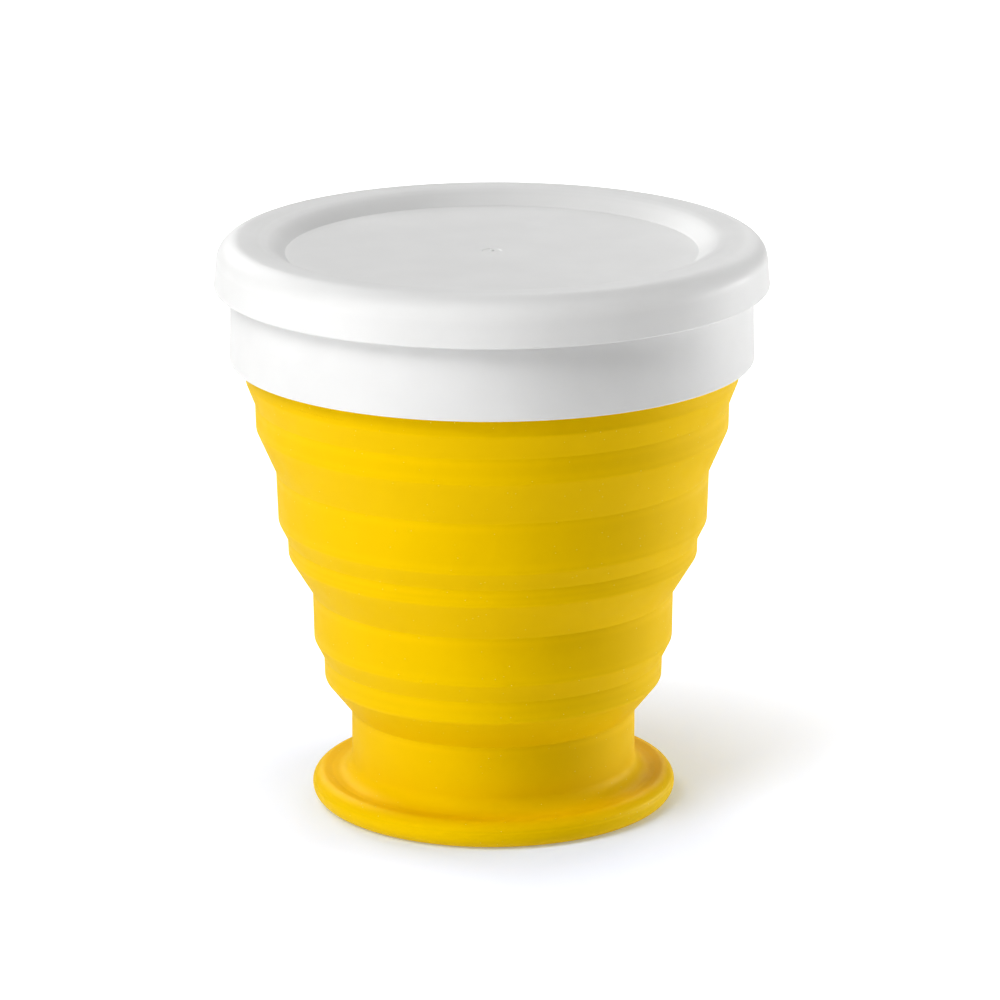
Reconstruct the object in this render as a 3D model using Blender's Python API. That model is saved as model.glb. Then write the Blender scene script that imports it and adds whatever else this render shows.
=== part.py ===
"""A collapsible travel cup: a silicone cup that folds flat in three steps, a rigid rim and a lid.

The silicone cup is a stack of rigid rings joined by thin slanted webs. Each web turns inside out when
the cup is pressed together, so the ring above it drops by twice the web's height. Everything is turned
about the Z axis. Units are metres, +Z is up, and the origin is the centre of the foot's underside.
"""

import math

import bmesh
import bpy

SEGMENTS = 48
ARC_STEPS = 4

# Clearance between neighbouring pieces
GAP = 0.0003

# Silicone cup
BAND_WALL = 0.0011
WEB_WALL = 0.0009

# Foot, floor and neck, which are one piece
FOOT_RADIUS = 0.0300
FOOT_EDGE_RADIUS = 0.0022
FOOT_VALLEY_DEPTH = 0.0004
FOOT_REST_INNER_RADIUS = 0.0245
FOOT_RECESS = 0.0012
FLOOR_TOP = 0.0036
NECK_RADIUS = 0.0234
NECK_WALL = 0.0013
NECK_FILLET = 0.0020
NECK_TOP = 0.0152

# The rings above the neck, from the foot up: name, lower edge, upper edge, and outer radius at each
RINGS = (
    ("silicone_band_1", 0.0207, 0.0243, 0.0278, 0.0279),
    ("silicone_band_2", 0.0275, 0.0355, 0.0295, 0.0296),
    ("silicone_band_3", 0.0419, 0.0447, 0.0335, 0.0336),
    ("silicone_band_4", 0.0477, 0.0561, 0.0351, 0.0354),
    ("silicone_band_5", 0.0633, 0.0675, 0.0385, 0.0386),
)

# The top band hangs inside the rim and ends in a bead
TOP_BAND_RADIUS = 0.0401
TOP_BAND_BOTTOM = 0.0714
BEAD_RADIUS = 0.0406
BEAD_BOTTOM = 0.0868
BEAD_TOP = 0.0904

# Rim collar: the outer ring, whose lip turns in over the bead
COLLAR_BOTTOM = 0.0746
COLLAR_TOP = 0.0922
COLLAR_BOTTOM_RADIUS = 0.0426
COLLAR_TOP_RADIUS = 0.0422
COLLAR_WALL = 0.0013
LIP_THICKNESS = 0.0015
LIP_EDGE_RADIUS = 0.0007
MOUTH_RADIUS = 0.0378

# Clamp ring: the sleeve that holds the bead against the collar
CLAMP_WALL = 0.0009
CLAMP_BOTTOM = 0.0775
CLAMP_LEAD_IN = 0.0005

# Lid
LID_RADIUS = 0.0450
LID_BOTTOM = 0.0867
LID_SHOULDER_RADIUS = 0.0446
LID_SHOULDER_START = 0.0908
LID_TOP = 0.0945
LID_CREST_OUTER_RADIUS = 0.0406
LID_CREST_INNER_RADIUS = 0.0368
LID_PANEL_RADIUS = 0.0346
LID_PANEL_TOP = 0.0921
LID_PANEL_THICKNESS = 0.0014
LID_SKIRT_WALL = 0.0015
PLUG_RADIUS = 0.0358
PLUG_WALL = 0.0011
PLUG_BOTTOM = 0.0862
PLUG_FLANGE_RADIUS = 0.0369
PLUG_FLANGE_THICKNESS = 0.0010
SEAL_RADIUS = 0.0375
SEAL_HEIGHT = 0.0022
SEAL_GROOVE_DEPTH = 0.0005

# Surfaces: linear red, green and blue, and roughness
SILICONE_COLOUR = (0.84, 0.56, 0.004)
SILICONE_ROUGHNESS = 0.55
PLASTIC_COLOUR = (0.80, 0.80, 0.79)
PLASTIC_ROUGHNESS = 0.45
SEAL_COLOUR = (0.70, 0.70, 0.68)
SEAL_ROUGHNESS = 0.50

# Edges that turn by less than this many degrees are shaded smooth
SMOOTH_ANGLE = 30.0
EMPTY_SIZE = 0.01


def clear_scene():
    """Removes whatever the scene starts with."""
    for old in list(bpy.data.objects):
        bpy.data.objects.remove(old)


def make_material(name, colour, roughness):
    """A plain non-metal surface."""
    material = bpy.data.materials.new(name)
    material.use_nodes = True
    surface = material.node_tree.nodes["Principled BSDF"]
    surface.inputs["Base Color"].default_value = (*colour, 1.0)
    surface.inputs["Roughness"].default_value = roughness
    surface.inputs["Metallic"].default_value = 0.0
    material.diffuse_color = (*colour, 1.0)
    return material


def arc(centre, radius, start_degrees, end_degrees, steps=ARC_STEPS):
    """Points of (radius, height) along an arc, both ends included."""
    points = []
    for step in range(steps + 1):
        angle = math.radians(start_degrees + (end_degrees - start_degrees) * step / steps)
        points.append((centre[0] + radius * math.cos(angle), centre[1] + radius * math.sin(angle)))
    return points


def turned_solid(name, outline, material, body):
    """One closed solid: the outline turned round Z, with its origin on the axis at its lowest height.

    The outline is a loop of (radius, height) points that runs counter-clockwise, up the outer side. Where
    it starts and ends on the axis, each of those points becomes a pole.
    """
    base = min(height for _, height in outline)
    mesh = bmesh.new()
    rings = []
    for radius, height in outline:
        if radius == 0.0:
            rings.append([mesh.verts.new((0.0, 0.0, height - base))])
            continue
        ring = []
        for segment in range(SEGMENTS):
            angle = 2.0 * math.pi * segment / SEGMENTS
            ring.append(mesh.verts.new((radius * math.cos(angle), radius * math.sin(angle), height - base)))
        rings.append(ring)
    for lower, upper in zip(rings, rings[1:] + rings[:1]):
        join_rings(mesh, lower, upper)
    data = bpy.data.meshes.new(name)
    mesh.to_mesh(data)
    mesh.free()
    data.materials.append(material)
    data.shade_smooth()
    data.set_sharp_from_angle(angle=math.radians(SMOOTH_ANGLE))
    solid = bpy.data.objects.new(name, data)
    bpy.context.scene.collection.objects.link(solid)
    solid.parent = body
    solid.location = (0.0, 0.0, base)
    return solid


def join_rings(mesh, lower, upper):
    """Faces between two neighbouring rings of the outline; a pole gets a fan, two poles get nothing."""
    if len(lower) == 1 and len(upper) == 1:
        return
    for segment in range(SEGMENTS):
        following = (segment + 1) % SEGMENTS
        if len(lower) == 1:
            mesh.faces.new((lower[0], upper[following], upper[segment]))
        elif len(upper) == 1:
            mesh.faces.new((lower[segment], lower[following], upper[0]))
        else:
            mesh.faces.new((lower[segment], lower[following], upper[following], upper[segment]))


def make_body(name, parent):
    """An empty on the axis that carries the pieces which move together."""
    body = bpy.data.objects.new(name, None)
    body.empty_display_size = EMPTY_SIZE
    bpy.context.scene.collection.objects.link(body)
    body.parent = parent
    return body


def add_base(material, body):
    """Foot, floor and neck: the bottom of the cup, with a hollow underside that stands on an annulus."""
    foot_top = 2.0 * FOOT_EDGE_RADIUS
    edge_centre = (FOOT_RADIUS - FOOT_EDGE_RADIUS, FOOT_EDGE_RADIUS)
    fillet_centre = (NECK_RADIUS + NECK_FILLET, foot_top - FOOT_VALLEY_DEPTH + NECK_FILLET)
    inner_radius = NECK_RADIUS - NECK_WALL
    outline = [(0.0, FOOT_RECESS), (FOOT_REST_INNER_RADIUS - FOOT_RECESS, FOOT_RECESS)]
    outline.append((FOOT_REST_INNER_RADIUS, 0.0))
    outline += arc(edge_centre, FOOT_EDGE_RADIUS, -90.0, 90.0, steps=2 * ARC_STEPS)
    outline += arc(fillet_centre, NECK_FILLET, -90.0, -180.0)
    outline.append((NECK_RADIUS, NECK_TOP - 0.5 * GAP))
    outline.append((inner_radius, NECK_TOP - 0.5 * GAP))
    outline.append((inner_radius, FLOOR_TOP + NECK_WALL))
    outline.append((inner_radius - NECK_WALL, FLOOR_TOP))
    outline.append((0.0, FLOOR_TOP))
    return turned_solid("silicone_base", outline, material, body)


def add_ring(name, bottom, top, bottom_radius, top_radius, material, body):
    """One rigid ring of the silicone cup, half a clearance short at each end."""
    low = bottom + 0.5 * GAP
    high = top - 0.5 * GAP
    outline = [
        (bottom_radius - BAND_WALL, low),
        (bottom_radius, low),
        (top_radius, high),
        (top_radius - BAND_WALL, high),
    ]
    return turned_solid(name, outline, material, body)


def add_web(name, low_point, high_point, material, body):
    """The thin slanted wall between two rings, which turns inside out when the cup folds."""
    rise = high_point[1] - low_point[1]
    spread = high_point[0] - low_point[0]
    level_wall = WEB_WALL * math.hypot(rise, spread) / rise
    low = low_point[1] + 0.5 * GAP
    high = high_point[1] - 0.5 * GAP
    low_radius = low_point[0] + spread * 0.5 * GAP / rise
    high_radius = high_point[0] - spread * 0.5 * GAP / rise
    outline = [
        (low_radius - level_wall, low),
        (low_radius, low),
        (high_radius, high),
        (high_radius - level_wall, high),
    ]
    return turned_solid(name, outline, material, body)


def add_top_band(material, body):
    """The cup's uppermost ring, with the bead that the rim traps."""
    inner_radius = TOP_BAND_RADIUS - BAND_WALL
    outline = [
        (inner_radius, TOP_BAND_BOTTOM + 0.5 * GAP),
        (TOP_BAND_RADIUS, TOP_BAND_BOTTOM + 0.5 * GAP),
        (TOP_BAND_RADIUS, BEAD_BOTTOM),
        (BEAD_RADIUS, BEAD_BOTTOM + BEAD_RADIUS - TOP_BAND_RADIUS),
        (BEAD_RADIUS, BEAD_TOP),
        (inner_radius, BEAD_TOP),
    ]
    return turned_solid("silicone_top_band", outline, material, body)


def add_collar(material, body):
    """The visible outer ring of the rim, with the drinking lip turned inwards at its top."""
    top_corner = (COLLAR_TOP_RADIUS - LIP_EDGE_RADIUS, COLLAR_TOP - LIP_EDGE_RADIUS)
    lip_corner = (MOUTH_RADIUS + LIP_EDGE_RADIUS, COLLAR_TOP - LIP_EDGE_RADIUS)
    outline = [
        (COLLAR_BOTTOM_RADIUS - COLLAR_WALL, COLLAR_BOTTOM),
        (COLLAR_BOTTOM_RADIUS, COLLAR_BOTTOM),
    ]
    outline += arc(top_corner, LIP_EDGE_RADIUS, 0.0, 90.0)
    outline += arc(lip_corner, LIP_EDGE_RADIUS, 90.0, 180.0)
    outline.append((MOUTH_RADIUS, COLLAR_TOP - LIP_THICKNESS))
    outline.append((COLLAR_TOP_RADIUS - COLLAR_WALL, COLLAR_TOP - LIP_THICKNESS))
    return turned_solid("rim_collar", outline, material, body)


def add_clamp_ring(material, body):
    """The sleeve pressed up inside the top band, which keeps the bead behind the lip.

    Its lower inner edge is eased, so that it starts into the band easily.
    """
    outer_radius = TOP_BAND_RADIUS - BAND_WALL - GAP
    inner_radius = outer_radius - CLAMP_WALL
    top = COLLAR_TOP - LIP_THICKNESS - GAP
    outline = [
        (inner_radius + CLAMP_LEAD_IN, CLAMP_BOTTOM),
        (outer_radius, CLAMP_BOTTOM),
        (outer_radius, top),
        (inner_radius, top),
        (inner_radius, CLAMP_BOTTOM + CLAMP_LEAD_IN),
    ]
    return turned_solid("rim_clamp_ring", outline, material, body)


def add_lid(material, body):
    """The press-on lid: skirt, rounded shoulder, raised crest, sunk panel and sealing plug."""
    shoulder_drop = LID_TOP - LID_SHOULDER_START
    shoulder_width = LID_SHOULDER_RADIUS - LID_CREST_OUTER_RADIUS
    crest_underside = COLLAR_TOP + GAP
    skirt_inner_radius = LID_RADIUS - LID_SKIRT_WALL
    panel_underside = LID_PANEL_TOP - LID_PANEL_THICKNESS
    outline = [(0.0, panel_underside), (PLUG_RADIUS - PLUG_WALL, panel_underside)]
    outline.append((PLUG_RADIUS - PLUG_WALL, PLUG_BOTTOM))
    outline.append((PLUG_FLANGE_RADIUS, PLUG_BOTTOM))
    outline.append((PLUG_FLANGE_RADIUS, PLUG_BOTTOM + PLUG_FLANGE_THICKNESS))
    outline.append((PLUG_RADIUS, PLUG_BOTTOM + PLUG_FLANGE_THICKNESS))
    outline.append((PLUG_RADIUS, crest_underside))
    outline.append((COLLAR_TOP_RADIUS + GAP, crest_underside))
    outline.append((skirt_inner_radius, LID_SHOULDER_START))
    outline.append((skirt_inner_radius, LID_BOTTOM))
    outline.append((LID_RADIUS, LID_BOTTOM))
    shoulder_centre = (LID_CREST_OUTER_RADIUS, LID_SHOULDER_START)
    for radius, height in arc((0.0, 0.0), 1.0, 0.0, 90.0, steps=2 * ARC_STEPS):
        outline.append(
            (shoulder_centre[0] + shoulder_width * radius, shoulder_centre[1] + shoulder_drop * height)
        )
    outline.append((LID_CREST_INNER_RADIUS, LID_TOP))
    outline.append((LID_PANEL_RADIUS, LID_PANEL_TOP))
    outline.append((0.0, LID_PANEL_TOP))
    return turned_solid("lid_shell", outline, material, body)


def add_lid_seal(material, body):
    """The soft ring round the lid's plug, with a groove that lets its two lips bend."""
    inner_radius = PLUG_RADIUS + GAP
    bottom = PLUG_BOTTOM + PLUG_FLANGE_THICKNESS + GAP
    top = bottom + SEAL_HEIGHT
    outline = [
        (inner_radius, bottom),
        (SEAL_RADIUS, bottom),
        (SEAL_RADIUS - SEAL_GROOVE_DEPTH, bottom + 0.5 * SEAL_HEIGHT),
        (SEAL_RADIUS, top),
        (inner_radius, top),
    ]
    return turned_solid("lid_seal_ring", outline, material, body)


def build_cup():
    """Builds each body from the foot up. Every ring is carried by the one below it."""
    silicone = make_material("silicone", SILICONE_COLOUR, SILICONE_ROUGHNESS)
    plastic = make_material("plastic", PLASTIC_COLOUR, PLASTIC_ROUGHNESS)
    seal = make_material("seal", SEAL_COLOUR, SEAL_ROUGHNESS)

    body = make_body("base_body", None)
    add_base(silicone, body)
    below = (NECK_RADIUS, NECK_TOP)
    for number, (name, bottom, top, bottom_radius, top_radius) in enumerate(RINGS, start=1):
        add_web(f"silicone_web_{number}", below, (bottom_radius, bottom), silicone, body)
        body = make_body(f"ring_{number}_body", body)
        add_ring(name, bottom, top, bottom_radius, top_radius, silicone, body)
        below = (top_radius, top)
    top_web = f"silicone_web_{len(RINGS) + 1}"
    add_web(top_web, below, (TOP_BAND_RADIUS, TOP_BAND_BOTTOM), silicone, body)

    body = make_body("rim_body", body)
    add_top_band(silicone, body)
    add_collar(plastic, body)
    add_clamp_ring(plastic, body)

    body = make_body("lid_body", body)
    add_lid(plastic, body)
    add_lid_seal(seal, body)


clear_scene()
build_cup()
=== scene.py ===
"""A collapsible travel cup on a white studio table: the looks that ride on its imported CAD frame.

Every piece is one closed solid turned about the Z axis, and stands for one CAD node. Its radii and heights
are read from that node and its neighbours. Units are metres. The camera looks along +Y, and the object
stands at the origin.
"""

import math

import bpy
from mathutils import Matrix, Vector, noise


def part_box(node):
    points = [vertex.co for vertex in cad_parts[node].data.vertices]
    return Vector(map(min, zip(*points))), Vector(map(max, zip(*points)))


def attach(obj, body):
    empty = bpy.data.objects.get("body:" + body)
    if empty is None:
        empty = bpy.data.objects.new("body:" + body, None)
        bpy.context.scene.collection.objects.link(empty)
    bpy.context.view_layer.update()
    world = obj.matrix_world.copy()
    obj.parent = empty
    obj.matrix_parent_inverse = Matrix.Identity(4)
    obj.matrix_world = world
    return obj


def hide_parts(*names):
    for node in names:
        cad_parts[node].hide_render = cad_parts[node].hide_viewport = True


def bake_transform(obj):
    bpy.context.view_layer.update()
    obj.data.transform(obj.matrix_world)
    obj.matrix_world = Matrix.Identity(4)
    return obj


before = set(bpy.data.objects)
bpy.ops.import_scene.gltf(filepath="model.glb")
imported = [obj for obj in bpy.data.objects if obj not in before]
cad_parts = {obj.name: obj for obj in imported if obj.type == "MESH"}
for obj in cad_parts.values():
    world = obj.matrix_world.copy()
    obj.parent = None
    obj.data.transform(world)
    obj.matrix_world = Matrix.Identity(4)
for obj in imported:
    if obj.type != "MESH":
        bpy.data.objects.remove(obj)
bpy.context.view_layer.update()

# Turned meshes
SEGMENTS = 192
LONGEST_STEP = 0.0010
ARC_STEP = math.radians(12.0)
SHARP_ANGLE = math.radians(50.0)
# Two heights or radii closer than this belong to the same ring of a CAD node
SAME = 0.00002

# Silicone wall: how far its outer ridges, outer creases and inner corners are rounded
RIDGE_ROUNDING = 0.0012
CREASE_ROUNDING = 0.00025
INNER_RIDGE_ROUNDING = 0.0009
INNER_CREASE_ROUNDING = 0.0004
# A folding wall reaches this far into the ring above it and the ring below it, past its own corners
WALL_OVERLAP = 0.0009
# Soft mouldings are a little uneven: the depth and the spacing of the swells
SWELL_DEPTH = 0.00005
SWELL_SPACING = 0.016

# Foot: its edge is half a circle, and a shallow valley runs on its top before the neck's fillet
FOOT_EDGE_STEPS = 16
FOOT_VALLEY_WIDTH = 0.0008
FOOT_VALLEY_DEPTH = 0.00012
FOOT_FILLET = 0.0026
# Groove in the foot's edge where the two halves of the mould met
PARTING_HEIGHT = 0.0030
PARTING_DEPTH = 0.00006
PARTING_HALF_WIDTH = 0.00016
# Other points of the edge stay this many half widths away from the groove
PARTING_CLEARANCE = 1.5

# Gate marks, where the moulds were filled: a dimple under the foot, and one with a nub on the lid
GATE_RADIUS = 0.0016
GATE_DEPTH = 0.0003
GATE_EDGE_ROUNDING = 0.00003
GATE_FLOOR_RADIUS = 0.00144
GATE_NUB_RADIUS = 0.0004
GATE_NUB_TIP_RADIUS = 0.0002
GATE_NUB_HEIGHT = 0.00012

# Rigid plastic parts
EDGE_ROUNDING = 0.0003
SKIRT_EDGE_ROUNDING = 0.00015
LIP_ROUNDING = 0.0006
CREST_ROUNDING = 0.0055
SHOULDER_STEPS = 14
# The crease round the lid's panel lies this far inside the CAD panel's edge, under a softer slope
PANEL_INSET = 0.0012
PANEL_CREASE_ROUNDING = 0.00015

# Camera: metres and degrees, and millimetres for its lens and sensor. It looks along +Y and down.
CAMERA_PLACE = (0.0012, -0.8000, 0.2752)
CAMERA_PITCH = 15.71
CAMERA_ROLL = 0.17
CAMERA_LENS = 182.7
CAMERA_SENSOR = 36.0
CAMERA_REACH = 10.0

# Bodies of the cup from the foot up, as the record names them
BODIES = ("base", "ring_1", "ring_2", "ring_3", "ring_4", "ring_5", "rim")
BANDS = tuple(f"silicone_band_{number}" for number in range(1, 6))


# ---- Reading the CAD frame ----


def rings_of(node):
    """The (radius, height) pairs of a turned CAD node's vertices."""
    return [(vertex.co.xy.length, vertex.co.z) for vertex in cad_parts[node].data.vertices]


def low(node):
    """The height of a node's lower end."""
    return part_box(node)[0].z


def high(node):
    """The height of a node's upper end."""
    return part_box(node)[1].z


def radii_at(node, height):
    """The inner and outer radius of a node at one height where it has vertices."""
    radii = [radius for radius, level in rings_of(node) if abs(level - height) < SAME]
    return min(radii), max(radii)


def heights_at(node, radius):
    """The lowest and highest vertices of a node at one radius."""
    heights = [height for ring, height in rings_of(node) if abs(ring - radius) < SAME]
    return min(heights), max(heights)


def between(lower, upper):
    """The height halfway across the clearance between two nodes."""
    return 0.5 * (high(lower) + low(upper))


# ---- Outlines ----


def fillet(before, corner, after, rounding):
    """Points of an arc that touches both straight runs at a corner."""
    back = (before - corner).normalized()
    onward = (after - corner).normalized()
    half = 0.5 * back.angle(onward)
    turn = math.pi - 2.0 * half
    centre = corner + (back + onward).normalized() * rounding / math.sin(half)
    first = corner + back * rounding / math.tan(half) - centre
    last = corner + onward * rounding / math.tan(half) - centre
    steps = max(2, math.ceil(turn / ARC_STEP))
    points = []
    for step in range(steps + 1):
        share = step / steps
        swing = first * math.sin((1.0 - share) * turn) + last * math.sin(share * turn)
        points.append(centre + swing / math.sin(turn))
    return points


def rounded(corners):
    """A closed outline through (radius, height, rounding) corners, with an arc at each rounded one."""
    points = []
    for index, (radius, height, rounding) in enumerate(corners):
        corner = Vector((radius, height))
        if rounding == 0.0:
            points.append(corner)
            continue
        before = Vector(corners[index - 1][:2])
        after = Vector(corners[(index + 1) % len(corners)][:2])
        points += fillet(before, corner, after, rounding)
    return points


def divided(points):
    """The same outline with its long runs cut into even steps. A run along the axis stays whole."""
    result = []
    for start, end in zip(points, points[1:] + points[:1]):
        result.append(start)
        if start.x == 0.0 and end.x == 0.0:
            continue
        steps = math.ceil((end - start).length / LONGEST_STEP)
        for step in range(1, steps):
            result.append(start.lerp(end, step / steps))
    return result


def bends_of(points):
    """How sharply the outline turns at each point, from -1 in a crease to 1 on a ridge."""
    bends = []
    for index, point in enumerate(points):
        back = point - points[index - 1]
        onward = points[(index + 1) % len(points)] - point
        turn = math.atan2(back.cross(onward), back.dot(onward))
        curvature = 2.0 * turn / (back.length + onward.length)
        bends.append(max(-1.0, min(1.0, curvature * RIDGE_ROUNDING)))
    return bends


# ---- Turned pieces ----


def swell(place):
    """The place of a vertex of soft silicone, moved in or out a little."""
    depth = SWELL_DEPTH * noise.noise(place / SWELL_SPACING)
    outward = Vector((place.x, place.y, 0.0))
    if outward.length < SAME:
        return place
    return place + outward.normalized() * depth


def turned(name, corners, material, replaced, soft=False):
    """One closed piece: the outline turned round Z. The outline runs up the outer side and down the inner."""
    points = divided(rounded(corners))
    bends = bends_of(points)
    places = []
    rings = []
    ridge = []
    for point, bend in zip(points, bends):
        count = 1 if point.x == 0.0 else SEGMENTS
        rings.append((len(places), count))
        for segment in range(count):
            angle = 2.0 * math.pi * segment / SEGMENTS
            place = Vector((point.x * math.cos(angle), point.x * math.sin(angle), point.y))
            places.append(swell(place) if soft else place)
            ridge.append(bend)
    faces = []
    for lower, upper in zip(rings, rings[1:] + rings[:1]):
        faces += strip(lower, upper)
    mesh = bpy.data.meshes.new(name)
    mesh.from_pydata(places, [], faces)
    mesh.attributes.new("ridge", "FLOAT", "POINT").data.foreach_set("value", ridge)
    mesh.materials.append(material)
    mesh.shade_smooth()
    mesh.set_sharp_from_angle(angle=SHARP_ANGLE)
    piece = bpy.data.objects.new(name, mesh)
    bpy.context.scene.collection.objects.link(piece)
    normals = piece.modifiers.new("flat_runs_stay_flat", "WEIGHTED_NORMAL")
    normals.keep_sharp = True
    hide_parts(replaced)
    return piece


def strip(lower, upper):
    """Faces between two rings, each given as its first vertex and its count. A single vertex is a pole."""
    faces = []
    if lower[1] == 1 and upper[1] == 1:
        return faces
    for segment in range(SEGMENTS):
        following = (segment + 1) % SEGMENTS
        if lower[1] == 1:
            faces.append((lower[0], upper[0] + following, upper[0] + segment))
        elif upper[1] == 1:
            faces.append((lower[0] + segment, lower[0] + following, upper[0]))
        else:
            faces.append(
                (lower[0] + segment, lower[0] + following, upper[0] + following, upper[0] + segment)
            )
    return faces


# ---- Silicone cup ----


def wall_corners():
    """The cup's outer corners from the top of the neck to the foot of the top band, each (radius, height)."""
    base = "silicone_base"
    corners = [(radii_at(base, high(base))[1], between(base, "silicone_web_1"))]
    for number, band in enumerate(BANDS, start=1):
        below = between(f"silicone_web_{number}", band)
        above = between(band, f"silicone_web_{number + 1}")
        corners.append((radii_at(band, low(band))[1], below))
        corners.append((radii_at(band, high(band))[1], above))
    top = "silicone_top_band"
    corners.append((radii_at(top, low(top))[1], between("silicone_web_6", top)))
    return corners


def ring_radius(corners, height):
    """The wall's outer radius at a height, along the straight run that it falls in."""
    for (low_radius, low_height), (high_radius, high_height) in zip(corners, corners[1:]):
        if low_height <= height <= high_height:
            share = (height - low_height) / (high_height - low_height)
            return low_radius + share * (high_radius - low_radius)
    return corners[0][0] if height < corners[0][1] else corners[-1][0]


def add_wall(number, corners, wall, material):
    """A folding wall, from just below the corner under it to just above the corner over it."""
    crease = corners[2 * number - 2]
    ridge = corners[2 * number - 1]
    start = crease[1] - WALL_OVERLAP
    end = ridge[1] + WALL_OVERLAP
    start_radius = ring_radius(corners, start)
    end_radius = ring_radius(corners, end)
    outline = [
        (start_radius - wall, start, 0.0),
        (start_radius, start, 0.0),
        (crease[0], crease[1], CREASE_ROUNDING),
        (ridge[0], ridge[1], RIDGE_ROUNDING),
        (end_radius, end, 0.0),
        (end_radius - wall, end, 0.0),
        (ridge[0] - wall, ridge[1], INNER_CREASE_ROUNDING),
        (crease[0] - wall, crease[1], INNER_RIDGE_ROUNDING),
    ]
    node = f"silicone_web_{number}"
    piece = turned(f"folding_wall_{number}", outline, material, node, soft=True)
    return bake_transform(piece)


def add_band(number, corners, wall, material):
    """The part of an upright ring that the folding walls leave between them."""
    start = corners[2 * number - 1][1] + WALL_OVERLAP
    end = corners[2 * number][1] - WALL_OVERLAP
    start_radius = ring_radius(corners, start)
    end_radius = ring_radius(corners, end)
    outline = [
        (start_radius - wall, start, 0.0),
        (start_radius, start, 0.0),
        (end_radius, end, 0.0),
        (end_radius - wall, end, 0.0),
    ]
    piece = turned(f"cup_ring_{number}", outline, material, BANDS[number - 1], soft=True)
    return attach(piece, BODIES[number])


def foot_edge(foot_radius, foot_top):
    """The foot's rounded edge, from its underside to its top, with the groove where the mould parted."""
    rounding = 0.5 * foot_top
    parting = math.asin((PARTING_HEIGHT - rounding) / rounding)
    spread = PARTING_HALF_WIDTH / rounding
    angles = [math.pi * (step / FOOT_EDGE_STEPS - 0.5) for step in range(FOOT_EDGE_STEPS + 1)]
    angles = [angle for angle in angles if abs(angle - parting) > PARTING_CLEARANCE * spread]
    angles += [parting - spread, parting, parting + spread]
    centre = foot_radius - rounding
    points = []
    for angle in sorted(angles):
        reach = rounding - (PARTING_DEPTH if angle == parting else 0.0)
        points.append((centre + reach * math.cos(angle), rounding + reach * math.sin(angle), 0.0))
    return points


def add_base(corners, wall, material):
    """Foot, floor and neck, up to where the first folding wall starts."""
    node = "silicone_base"
    rings = rings_of(node)
    foot_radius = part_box(node)[1].x
    neck_radius = corners[0][0]
    neck_end = corners[0][1] - WALL_OVERLAP
    # The floor inside the cup is one flat face, whose edge is the innermost ring of the node
    floor_top = min(rings)[1]
    rest_inner = radii_at(node, low(node))[0]
    recess = min(height for radius, height in rings if radius < rest_inner - SAME)
    foot_top = max(height for radius, height in rings if radius > neck_radius + FOOT_FILLET)
    valley = foot_top - FOOT_VALLEY_DEPTH
    valley_radius = neck_radius + FOOT_FILLET + FOOT_VALLEY_WIDTH
    inner = neck_radius - wall
    outline = [
        (0.0, recess - GATE_DEPTH, 0.0),
        (GATE_RADIUS, recess - GATE_DEPTH, GATE_EDGE_ROUNDING),
        (GATE_RADIUS, recess, GATE_EDGE_ROUNDING),
        (rest_inner - recess, recess, EDGE_ROUNDING),
        (rest_inner, 0.0, EDGE_ROUNDING),
    ]
    outline += foot_edge(foot_radius, foot_top)
    outline += [
        (valley_radius, valley, FOOT_VALLEY_WIDTH),
        (neck_radius, valley, FOOT_FILLET),
        (neck_radius, neck_end, 0.0),
        (inner, neck_end, 0.0),
        (inner, floor_top, FOOT_FILLET),
        (0.0, floor_top, 0.0),
    ]
    piece = turned("cup_base", outline, material, node, soft=True)
    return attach(piece, "base")


def add_top_band(corners, wall, material):
    """The uppermost ring of the cup, which hangs in the rim by its bead."""
    node = "silicone_top_band"
    radius = corners[-1][0]
    start = corners[-1][1] + WALL_OVERLAP
    bead_top = high(node)
    bead_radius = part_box(node)[1].x
    bead_bottom = min(height for ring, height in rings_of(node) if ring > radius + SAME)
    outline = [
        (radius - wall, start, 0.0),
        (radius, start, 0.0),
        (radius, bead_bottom - (bead_radius - radius), INNER_CREASE_ROUNDING),
        (bead_radius, bead_bottom, INNER_CREASE_ROUNDING),
        (bead_radius, bead_top, INNER_CREASE_ROUNDING),
        (radius - wall, bead_top, EDGE_ROUNDING),
    ]
    piece = turned("cup_top_band", outline, material, node)
    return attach(piece, "rim")


# ---- Rim ----


def add_collar(material):
    """The rigid outer ring, whose lip turns in over the bead."""
    node = "rim_collar"
    bottom, top = low(node), high(node)
    inner, outer = radii_at(node, bottom)
    mouth = min(radius for radius, height in rings_of(node))
    lip_under = min(height for radius, height in rings_of(node) if radius < mouth + SAME)
    shoulder = max(radius for radius, height in rings_of(node) if height > bottom + EDGE_ROUNDING)
    wall = outer - inner
    outline = [
        (inner, bottom, EDGE_ROUNDING),
        (outer, bottom, EDGE_ROUNDING),
        (shoulder, top, LIP_ROUNDING),
        (mouth, top, LIP_ROUNDING),
        (mouth, lip_under, EDGE_ROUNDING),
        (shoulder - wall, lip_under, EDGE_ROUNDING),
    ]
    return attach(turned("rim_outer_ring", outline, material, node), "rim")


def add_clamp_ring(material):
    """The sleeve inside the top band that holds the bead against the collar."""
    node = "rim_clamp_ring"
    bottom, top = low(node), high(node)
    inner, outer = radii_at(node, top)
    outline = [
        (inner, bottom, EDGE_ROUNDING),
        (outer, bottom, EDGE_ROUNDING),
        (outer, top, EDGE_ROUNDING),
        (inner, top, EDGE_ROUNDING),
    ]
    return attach(turned("rim_inner_sleeve", outline, material, node), "rim")


# ---- Lid ----


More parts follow.
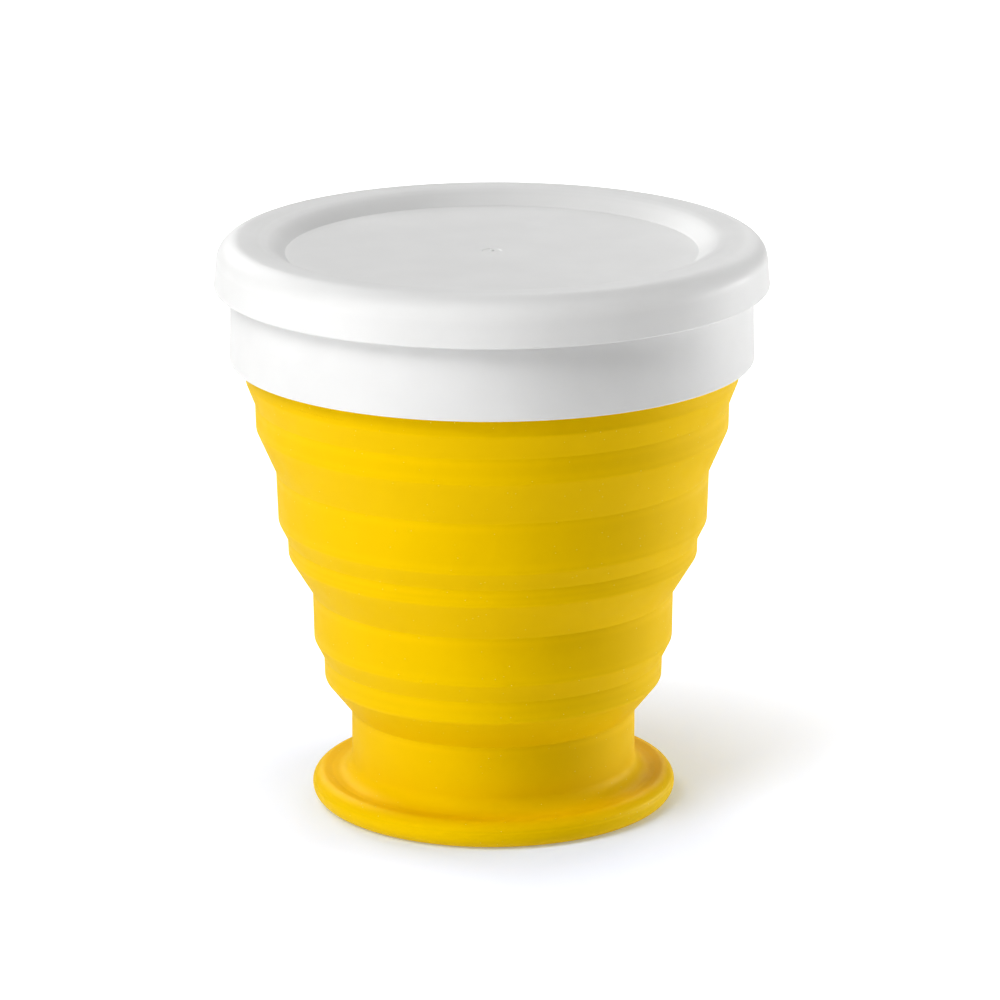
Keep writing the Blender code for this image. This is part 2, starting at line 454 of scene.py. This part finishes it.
def add_lid(material):
    """Skirt, rounded shoulder, crest, sunk panel with its gate mark, and the plug under it."""
    node = "lid_shell"
    rings = rings_of(node)
    top = high(node)
    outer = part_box(node)[1].x
    bottom = heights_at(node, outer)[0]
    skirt_inner = radii_at(node, bottom)[0]
    shoulder_radius = max(radius for radius, height in rings if height > bottom + SAME)
    shoulder_start = heights_at(node, shoulder_radius)[0]
    crest_inner, crest_outer = radii_at(node, top)
    # The sunk panel is one flat face, whose edge is the innermost ring of the node
    panel_radius, panel_top = min(rings)
    plug_bottom = low(node)
    plug_inner, flange_radius = radii_at(node, plug_bottom)
    panel_under = heights_at(node, plug_inner)[1]
    plug_radius = min(radius for radius, height in rings if radius > plug_inner + SAME)
    flange_top, crest_under = heights_at(node, plug_radius)
    outline = [
        (0.0, panel_under, 0.0),
        (plug_inner, panel_under, EDGE_ROUNDING),
        (plug_inner, plug_bottom, EDGE_ROUNDING),
        (flange_radius, plug_bottom, EDGE_ROUNDING),
        (flange_radius, flange_top, EDGE_ROUNDING),
        (plug_radius, flange_top, EDGE_ROUNDING),
        (plug_radius, crest_under, EDGE_ROUNDING),
        (radii_at(node, crest_under)[1], crest_under, EDGE_ROUNDING),
        (skirt_inner, shoulder_start, EDGE_ROUNDING),
        (skirt_inner, bottom, SKIRT_EDGE_ROUNDING),
        (outer, bottom, EDGE_ROUNDING),
    ]
    for step in range(SHOULDER_STEPS + 1):
        angle = 0.5 * math.pi * step / SHOULDER_STEPS
        radius = crest_outer + (shoulder_radius - crest_outer) * math.cos(angle)
        outline.append((radius, shoulder_start + (top - shoulder_start) * math.sin(angle), 0.0))
    outline += [
        (crest_inner, top, CREST_ROUNDING),
        (panel_radius - PANEL_INSET, panel_top, PANEL_CREASE_ROUNDING),
        (GATE_RADIUS, panel_top, GATE_EDGE_ROUNDING),
        (GATE_FLOOR_RADIUS, panel_top - GATE_NUB_HEIGHT, GATE_EDGE_ROUNDING),
        (GATE_NUB_RADIUS, panel_top - GATE_NUB_HEIGHT, 0.0),
        (GATE_NUB_TIP_RADIUS, panel_top + GATE_NUB_HEIGHT, 0.0),
        (0.0, panel_top + GATE_NUB_HEIGHT, 0.0),
    ]
    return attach(turned("lid_cap", outline, material, node), "lid")


def add_seal(material):
    """The soft ring round the lid's plug, with a groove between its two lips."""
    node = "lid_seal_ring"
    bottom, top = low(node), high(node)
    inner, outer = radii_at(node, bottom)
    middle = 0.5 * (bottom + top)
    groove = max(radius for radius, height in rings_of(node) if abs(height - middle) < SAME)
    outline = [
        (inner, bottom, EDGE_ROUNDING),
        (outer, bottom, EDGE_ROUNDING),
        (groove, middle, EDGE_ROUNDING),
        (outer, top, EDGE_ROUNDING),
        (inner, top, EDGE_ROUNDING),
    ]
    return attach(turned("lid_sealing_ring", outline, material, node), "lid")


# ---- Materials ----

# Blender's noise seldom leaves this range
NOISE_LOW = 0.3
NOISE_HIGH = 0.7
# Share of a speck's radius that has its full strength
SPECK_CORE = 0.5


def node_of(tree, kind, inputs=None, **settings):
    """A new shader node with these settings and input values."""
    made = tree.nodes.new(kind)
    for key, value in settings.items():
        setattr(made, key, value)
    for key, value in (inputs or {}).items():
        made.inputs[key].default_value = value
    return made


def new_material(name, colour):
    """A material with its node tree, its Principled shader and a coordinate source in metres."""
    material = bpy.data.materials.new(name)
    material.use_nodes = True
    material.diffuse_color = (*colour, 1.0)
    tree = material.node_tree
    shader = tree.nodes["Principled BSDF"]
    place = node_of(tree, "ShaderNodeTexCoord").outputs["Object"]
    return material, tree, shader, place


def noise_of(tree, place, spacing, detail=2.0):
    """Soft noise whose lumps are about this far apart, in metres."""
    made = node_of(tree, "ShaderNodeTexNoise", {"Scale": 1.0 / spacing, "Detail": detail})
    tree.links.new(place, made.inputs["Vector"])
    return made.outputs["Fac"]


def ranged(tree, value, low_in, high_in, low_out, high_out):
    """A value mapped from one range to another."""
    values = {"From Min": low_in, "From Max": high_in, "To Min": low_out, "To Max": high_out}
    made = node_of(tree, "ShaderNodeMapRange", values)
    tree.links.new(value, made.inputs["Value"])
    return made.outputs["Result"]


def scaled(tree, value, most):
    """A value from 0 to 1 brought down to the range from 0 to this."""
    return ranged(tree, value, 0.0, 1.0, 0.0, most)


def mottled(tree, place, spacing, least, most):
    """A value that wanders between two bounds, in soft lumps about this far apart."""
    return ranged(tree, noise_of(tree, place, spacing), NOISE_LOW, NOISE_HIGH, least, most)


def on_ridges(tree, ridge, most):
    """A value that grows from nothing on flat runs to this on the sharpest ridges."""
    return scaled(tree, ridge, most)


def in_creases(tree, ridge, most):
    """A value that grows from nothing on flat runs to this in the sharpest creases."""
    return ranged(tree, ridge, 0.0, -1.0, 0.0, most)


def mixed(tree, share, first, second):
    """A colour mixed from two, each a colour value or another node's output."""
    made = node_of(tree, "ShaderNodeMix", data_type="RGBA")
    tree.links.new(share, made.inputs[0])
    # A Mix node's colours are its sixth and seventh input and its second output, counted from nought
    for socket, colour in ((made.inputs[6], first), (made.inputs[7], second)):
        if isinstance(colour, tuple):
            socket.default_value = (*colour, 1.0)
        else:
            tree.links.new(colour, socket)
    return made.outputs[2]


def summed(tree, *values):
    """Several values added together."""
    total = values[0]
    for value in values[1:]:
        made = node_of(tree, "ShaderNodeMath", operation="ADD")
        tree.links.new(total, made.inputs[0])
        tree.links.new(value, made.inputs[1])
        total = made.outputs[0]
    return total


def bumped(tree, shader, height, depth):
    """Gives the shader a bump whose full height is this many metres."""
    made = node_of(tree, "ShaderNodeBump", {"Strength": 1.0, "Distance": depth})
    tree.links.new(height, made.inputs["Height"])
    tree.links.new(made.outputs["Normal"], shader.inputs["Normal"])


def specks(tree, place, spacing, radius, share):
    """A mask of small round specks: one in some of the cells of an uneven grid."""
    cells = node_of(tree, "ShaderNodeTexVoronoi", {"Scale": 1.0 / spacing, "Randomness": 1.0})
    tree.links.new(place, cells.inputs["Vector"])
    edge = radius / spacing
    spot = ranged(tree, cells.outputs["Distance"], SPECK_CORE * edge, edge, 1.0, 0.0)
    chance = node_of(tree, "ShaderNodeSeparateColor")
    tree.links.new(cells.outputs["Color"], chance.inputs["Color"])
    chosen = node_of(tree, "ShaderNodeMath", {1: share}, operation="LESS_THAN")
    tree.links.new(chance.outputs[0], chosen.inputs[0])
    both = node_of(tree, "ShaderNodeMath", operation="MULTIPLY")
    tree.links.new(spot, both.inputs[0])
    tree.links.new(chosen.outputs[0], both.inputs[1])
    return both.outputs[0]


def silicone():
    """Matte yellow silicone: faint clouds, a painted highlight on the ridges, creases painted greener against
    the orange of bounced light, grain, soft waves and dust specks.
    """
    body = (0.88, 0.604, 0.0)
    deep = (0.86, 0.587, 0.0)
    # Painted highlight: the ridges are lighter where their rounding would catch the light
    ridge_highlight_yellow = (0.91, 0.628, 0.0)
    # Painted light: the creases are a little greener, to cancel the orange of light bounced between the walls
    crease_bounce_offset = (0.87, 0.620, 0.0)
    dust = (0.98, 0.830, 0.250)
    material, tree, shader, place = new_material("silicone_yellow", body)
    ridge = node_of(tree, "ShaderNodeAttribute", attribute_name="ridge").outputs["Fac"]
    colour = mixed(tree, mottled(tree, place, spacing=0.012, least=0.0, most=1.0), body, deep)
    colour = mixed(tree, on_ridges(tree, ridge, most=0.5), colour, ridge_highlight_yellow)
    colour = mixed(tree, in_creases(tree, ridge, most=0.6), colour, crease_bounce_offset)
    dusting = specks(tree, place, spacing=0.0012, radius=0.00011, share=0.60)
    colour = mixed(tree, dusting, colour, dust)
    tree.links.new(colour, shader.inputs["Base Color"])
    matte = mottled(tree, place, spacing=0.0030, least=0.50, most=0.58)
    polish = on_ridges(tree, ridge, most=-0.06)
    tree.links.new(summed(tree, matte, polish), shader.inputs["Roughness"])
    grain = scaled(tree, noise_of(tree, place, spacing=0.00035, detail=3.0), most=0.25)
    waves = noise_of(tree, place, spacing=0.0045)
    raised = scaled(tree, dusting, most=0.5)
    bumped(tree, shader, summed(tree, grain, waves, raised), depth=0.00004)
    shader.inputs["IOR"].default_value = 1.41
    shader.inputs["Specular IOR Level"].default_value = 0.35
    shader.inputs["Specular Tint"].default_value = (1.0, 0.75, 0.0, 1.0)
    shader.inputs["Sheen Weight"].default_value = 0.05
    shader.inputs["Sheen Roughness"].default_value = 0.4
    shader.inputs["Sheen Tint"].default_value = (1.0, 0.70, 0.0, 1.0)
    return material


def plastic():
    """White satin plastic: faint mottling, a painted highlight on the ridges, fine grain and a slight orange
    peel.
    """
    body = (0.83, 0.83, 0.825)
    shade = (0.80, 0.80, 0.795)
    # Painted highlight: the ridges are lighter where their rounding would catch the light
    ridge_highlight_white = (0.86, 0.86, 0.855)
    material, tree, shader, place = new_material("plastic_white", body)
    ridge = node_of(tree, "ShaderNodeAttribute", attribute_name="ridge").outputs["Fac"]
    colour = mixed(tree, mottled(tree, place, spacing=0.014, least=0.0, most=1.0), body, shade)
    colour = mixed(tree, on_ridges(tree, ridge, most=0.5), colour, ridge_highlight_white)
    tree.links.new(colour, shader.inputs["Base Color"])
    satin = mottled(tree, place, spacing=0.0025, least=0.45, most=0.52)
    polish = on_ridges(tree, ridge, most=-0.05)
    tree.links.new(summed(tree, satin, polish), shader.inputs["Roughness"])
    grain = scaled(tree, noise_of(tree, place, spacing=0.00030, detail=3.0), most=0.3)
    peel = noise_of(tree, place, spacing=0.0032)
    bumped(tree, shader, summed(tree, grain, peel), depth=0.00002)
    shader.inputs["IOR"].default_value = 1.49
    shader.inputs["Specular IOR Level"].default_value = 0.18
    return material


def seal():
    """Soft off-white sealing rubber with a fine matte grain."""
    body = (0.74, 0.74, 0.72)
    shade = (0.70, 0.70, 0.68)
    material, tree, shader, place = new_material("seal_white", body)
    cloud = mottled(tree, place, spacing=0.006, least=0.0, most=1.0)
    tree.links.new(mixed(tree, cloud, body, shade), shader.inputs["Base Color"])
    matte = mottled(tree, place, spacing=0.0015, least=0.52, most=0.62)
    tree.links.new(matte, shader.inputs["Roughness"])
    bumped(tree, shader, noise_of(tree, place, spacing=0.00040, detail=3.0), depth=0.00002)
    shader.inputs["IOR"].default_value = 1.41
    return material


# ---- Studio ----

FLOOR_RADIUS = 4.0
# The table lies a hair under the foot, so that the two faces never share a plane
FLOOR_LEVEL = -0.00005
FLOOR_COLOUR = (0.78, 0.78, 0.78)
# Close to the foot the table is a little blue, which makes up for the yellow light off the cup
FLOOR_COLOUR_NEAR = (0.66, 0.73, 0.94)
TINTED_RING = (0.030, 0.130)
# The table's glow under the cup, around it and far away, and the radii between which it changes. The weaker
# glow under and close to the cup paints a soft shadow there.
FLOOR_GLOW_NEAR = 0.25
FLOOR_GLOW = 0.30
FLOOR_GLOW_FAR = 0.95
SHADED_RING = (0.029, 0.048)
BRIGHTER_RING = (0.900, 1.800)
# A further glow that lights nothing, so that the table looks white and the cup's shadow stays light
SEEN_GLOW = 0.29
SEEN_RING = (0.030, 0.080)

# The world's light, and the brightness that the camera sees behind the table
AMBIENT = 0.02
BACKDROP = 1.0
# Below 1, the view's gamma adds contrast
CONTRAST_GAMMA = 0.80

# Each softbox: name, azimuth and elevation in degrees, width and height in metres, and power in watts.
# Azimuth 0 is behind the camera, and it grows to the camera's right.
SOFTBOXES = (
    ("left_softbox", -54.0, 8.0, 0.9, 0.45, 4.6),
    ("upper_left_softbox", -43.0, 45.0, 0.6, 0.6, 7.3),
    ("top_softbox", -8.0, 78.0, 0.6, 0.6, 2.8),
    ("right_softbox", 110.0, 2.0, 0.7, 0.16, 8.3),
    ("upper_right_softbox", 92.0, 50.0, 0.5, 0.5, 1.6),
    ("rear_left_softbox", -152.0, 28.0, 0.6, 0.5, 5.2),
    ("rear_softbox", 165.0, 25.0, 0.5, 0.5, 2.4),
)
SOFTBOX_DISTANCE = 1.2
SOFTBOX_AIM = Vector((0.0, 0.0, 0.05))


def add_floor():
    """A wide white table that glows a little, so that it comes out white and keeps a soft shadow."""
    material, tree, shader, place = new_material("studio_table", FLOOR_COLOUR)
    length = node_of(tree, "ShaderNodeVectorMath", operation="LENGTH")
    tree.links.new(place, length.inputs[0])
    reach = length.outputs["Value"]
    away = ranged(tree, reach, *TINTED_RING, 0.0, 1.0)
    tree.links.new(mixed(tree, away, FLOOR_COLOUR_NEAR, FLOOR_COLOUR), shader.inputs["Base Color"])
    middle = ranged(tree, reach, *SHADED_RING, FLOOR_GLOW_NEAR, FLOOR_GLOW)
    distant = ranged(tree, reach, *BRIGHTER_RING, 0.0, FLOOR_GLOW_FAR - FLOOR_GLOW)
    seen = node_of(tree, "ShaderNodeMath", operation="MULTIPLY")
    tree.links.new(node_of(tree, "ShaderNodeLightPath").outputs["Is Camera Ray"], seen.inputs[0])
    tree.links.new(ranged(tree, reach, *SEEN_RING, 0.0, SEEN_GLOW), seen.inputs[1])
    glow = summed(tree, middle, distant, seen.outputs[0])
    tree.links.new(glow, shader.inputs["Emission Strength"])
    shader.inputs["Roughness"].default_value = 1.0
    shader.inputs["Specular IOR Level"].default_value = 0.0
    shader.inputs["Emission Color"].default_value = (1.0, 1.0, 1.0, 1.0)
    angles = [2.0 * math.pi * segment / SEGMENTS for segment in range(SEGMENTS)]
    edge = [(FLOOR_RADIUS * math.cos(angle), FLOOR_RADIUS * math.sin(angle)) for angle in angles]
    places = [(across, along, FLOOR_LEVEL) for across, along in edge]
    mesh = bpy.data.meshes.new("studio_table")
    mesh.from_pydata(places, [], [tuple(range(SEGMENTS))])
    mesh.materials.append(material)
    table = bpy.data.objects.new("studio_table", mesh)
    bpy.context.scene.collection.objects.link(table)


def add_softbox(name, azimuth, elevation, width, height, power):
    """A soft light that faces the cup square on."""
    light = bpy.data.lights.new(name, "AREA")
    light.shape = "RECTANGLE"
    light.size = width
    light.size_y = height
    light.energy = power
    softbox = bpy.data.objects.new(name, light)
    bpy.context.scene.collection.objects.link(softbox)
    turn = math.radians(azimuth)
    rise = math.radians(elevation)
    level = math.cos(rise)
    outward = Vector((math.sin(turn) * level, -math.cos(turn) * level, math.sin(rise)))
    softbox.location = SOFTBOX_AIM + outward * SOFTBOX_DISTANCE
    softbox.rotation_euler = outward.to_track_quat("Z", "Y").to_euler()


def add_lights():
    """The softboxes round the cup."""
    for softbox in SOFTBOXES:
        add_softbox(*softbox)


def add_world():
    """Faint even light from all round, behind a backdrop that the camera sees as white."""
    world = bpy.data.worlds.new("studio_air")
    world.use_nodes = True
    tree = world.node_tree
    air = tree.nodes["Background"]
    air.inputs["Color"].default_value = (1.0, 1.0, 1.0, 1.0)
    seen = node_of(tree, "ShaderNodeLightPath").outputs["Is Camera Ray"]
    tree.links.new(ranged(tree, seen, 0.0, 1.0, AMBIENT, BACKDROP), air.inputs["Strength"])
    bpy.context.scene.world = world


def add_camera():
    """A long lens that looks along +Y and down, turned by a fraction of a degree."""
    camera = bpy.data.cameras.new("studio_camera")
    camera.lens = CAMERA_LENS
    camera.sensor_width = CAMERA_SENSOR
    camera.clip_end = CAMERA_REACH
    held = bpy.data.objects.new("studio_camera", camera)
    bpy.context.scene.collection.objects.link(held)
    pitch = Matrix.Rotation(math.radians(90.0 - CAMERA_PITCH), 4, "X")
    roll = Matrix.Rotation(math.radians(-CAMERA_ROLL), 4, "Z")
    held.matrix_world = Matrix.Translation(CAMERA_PLACE) @ pitch @ roll
    bpy.context.scene.camera = held


def build_cup():
    """All visual pieces, from the foot up."""
    yellow = silicone()
    white = plastic()
    corners = wall_corners()
    # The wall is equally thick all the way up, so one ring gives its thickness
    band = BANDS[1]
    inner, outer = radii_at(band, low(band))
    wall = outer - inner
    add_base(corners, wall, yellow)
    for number in range(1, len(BANDS) + 2):
        add_wall(number, corners, wall, yellow)
    for number in range(1, len(BANDS) + 1):
        add_band(number, corners, wall, yellow)
    add_top_band(corners, wall, yellow)
    add_collar(white)
    add_clamp_ring(white)
    add_lid(white)
    add_seal(seal())


build_cup()
add_floor()
add_world()
add_lights()
add_camera()
bpy.context.scene.view_settings.view_transform = "Standard"
bpy.context.scene.view_settings.gamma = CONTRAST_GAMMA
